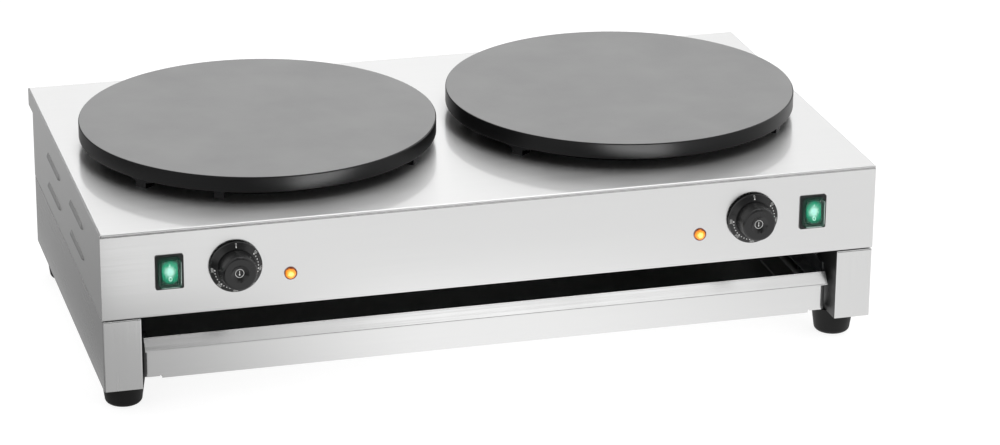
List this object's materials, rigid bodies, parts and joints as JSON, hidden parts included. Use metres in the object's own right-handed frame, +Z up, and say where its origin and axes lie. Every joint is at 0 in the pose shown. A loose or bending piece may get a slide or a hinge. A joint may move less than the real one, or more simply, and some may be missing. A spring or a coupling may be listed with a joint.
{
  "type": "electric crepe maker",
  "caption": "Countertop electric crepe maker: side-by-side round cast griddle plates on a folded stainless housing, with front controls and a sliding utensil drawer below.",
  "frame": {"origin": "centre of the bounding box in X and Y, on the plane that the feet rest on", "axes": "+X along the front to the right as the user faces the controls, +Y from front to rear, +Z up"},
  "size_m": [0.8724, 0.518, 0.2415],
  "materials": {
    "steel": "brushed",
    "galvanised": "dull",
    "rubber": "matte",
    "zinc": "satin",
    "cast_iron": "fine machined, satin",
    "sheath": "oxidised",
    "wool": "fibrous",
    "copper": "bare copper",
    "ceramic": "matt",
    "black_gloss": "semi-gloss",
    "black_matte": "satin",
    "green_plastic": "translucent",
    "clear_cover": "clear soft cover",
    "amber_lens": "translucent",
    "ivory": "satin",
    "brass": "satin"
  },
  "bodies": {
    "housing": {"top_cover": "steel", "control_panel": "steel", "rear_panel": "steel", "housing_floor": "galvanised", "base_side_left": "steel", "base_side_right": "steel", "base_rear_panel": "steel", "rail_left": "galvanised", "rail_right": "galvanised", "foot_front_left": "rubber", "foot_front_right": "rubber", "foot_rear_left": "rubber", "foot_rear_right": "rubber", "foot_bolts": "zinc", "plate_left": "cast_iron", "plate_right": "cast_iron", "heater_left": "sheath", "heater_right": "sheath", "insulation_left": "wool", "insulation_right": "wool", "pan_left": "galvanised", "pan_right": "galvanised", "plate_legs_left": "zinc", "plate_legs_right": "zinc", "leg_screws": "zinc", "pan_bolts": "zinc", "sensor_left": "copper", "sensor_right": "copper", "sensor_clip_left": "zinc", "sensor_clip_right": "zinc", "thermostat_left": "ceramic", "thermostat_right": "ceramic", "thermostat_screws": "zinc", "switch_left": "black_matte", "switch_right": "black_matte", "switch_cap_left": "clear_cover", "switch_cap_right": "clear_cover", "lamp_lens_left": "amber_lens", "lamp_lens_right": "amber_lens", "lamp_body_left": "ivory", "lamp_body_right": "ivory", "limiter_left": "ceramic", "limiter_right": "ceramic", "terminal_block": "ivory", "cable_gland": "black_matte", "gland_nut": "black_matte", "bonding_stud": "brass", "floor_screws": "zinc", "rear_screws": "zinc"},
    "dial_left": {"knob_left": "black_gloss", "shaft_left": "zinc"},
    "dial_right": {"knob_right": "black_gloss", "shaft_right": "zinc"},
    "rocker_left": {"rocker_left": "green_plastic"},
    "rocker_right": {"rocker_right": "green_plastic"},
    "drawer": {"drawer_front": "steel", "drawer_tray": "steel"}
  },
  "joints": [
    {"name": "knob_turn_left", "type": "hinge", "parent": "housing", "child": "dial_left", "pos_m": [-0.29, -0.243, 0.163], "axis": [0, -1, 0], "range_deg": [0, 270]},
    {"name": "knob_turn_right", "type": "hinge", "parent": "housing", "child": "dial_right", "pos_m": [0.29, -0.243, 0.163], "axis": [0, -1, 0], "range_deg": [0, 270]},
    {"name": "rocker_tilt_left", "type": "hinge", "parent": "housing", "child": "rocker_left", "pos_m": [-0.361, -0.231, 0.163], "axis": [1, 0, 0], "range_deg": [0, 15]},
    {"name": "rocker_tilt_right", "type": "hinge", "parent": "housing", "child": "rocker_right", "pos_m": [0.361, -0.231, 0.163], "axis": [1, 0, 0], "range_deg": [0, 15]},
    {"name": "drawer_slide", "type": "slide", "parent": "housing", "child": "drawer", "axis": [0, -1, 0], "range_m": [0, 0.36]}
  ]
}
